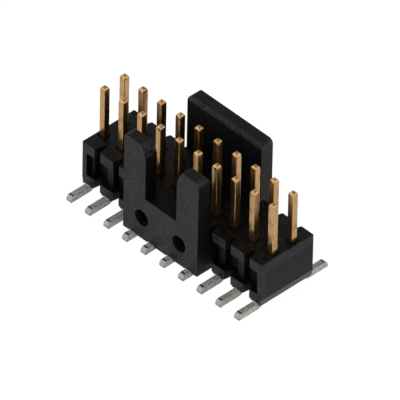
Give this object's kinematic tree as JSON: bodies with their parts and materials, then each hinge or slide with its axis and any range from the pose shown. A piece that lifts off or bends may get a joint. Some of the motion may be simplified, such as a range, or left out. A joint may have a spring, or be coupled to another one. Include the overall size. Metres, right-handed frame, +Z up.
{
  "type": "pin header",
  "caption": "Surface-mount pin header: rows of square gold pins in a black moulded housing with a slotted front wall and a plain rear wall.",
  "frame": {"origin": "on the circuit board, under the middle of the pin grid", "axes": "+Z up from the board along the posts, +X along the pin rows, -Y towards the slotted wall"},
  "size_m": [0.0244, 0.0116, 0.012],
  "materials": {
    "housing_plastic": "black moulded plastic, fine matte grain",
    "pin_plating": "gold plated posts, satin tin plated feet"
  },
  "bodies": {
    "root": {"housing": "housing_plastic", "pin_front_01": "pin_plating", "pin_front_02": "pin_plating", "pin_front_03": "pin_plating", "pin_front_04": "pin_plating", "pin_front_05": "pin_plating", "pin_front_06": "pin_plating", "pin_front_07": "pin_plating", "pin_front_08": "pin_plating", "pin_front_09": "pin_plating", "pin_front_10": "pin_plating", "pin_rear_01": "pin_plating", "pin_rear_02": "pin_plating", "pin_rear_03": "pin_plating", "pin_rear_04": "pin_plating", "pin_rear_05": "pin_plating", "pin_rear_06": "pin_plating", "pin_rear_07": "pin_plating", "pin_rear_08": "pin_plating", "pin_rear_09": "pin_plating", "pin_rear_10": "pin_plating"}
  },
  "joints": []
}
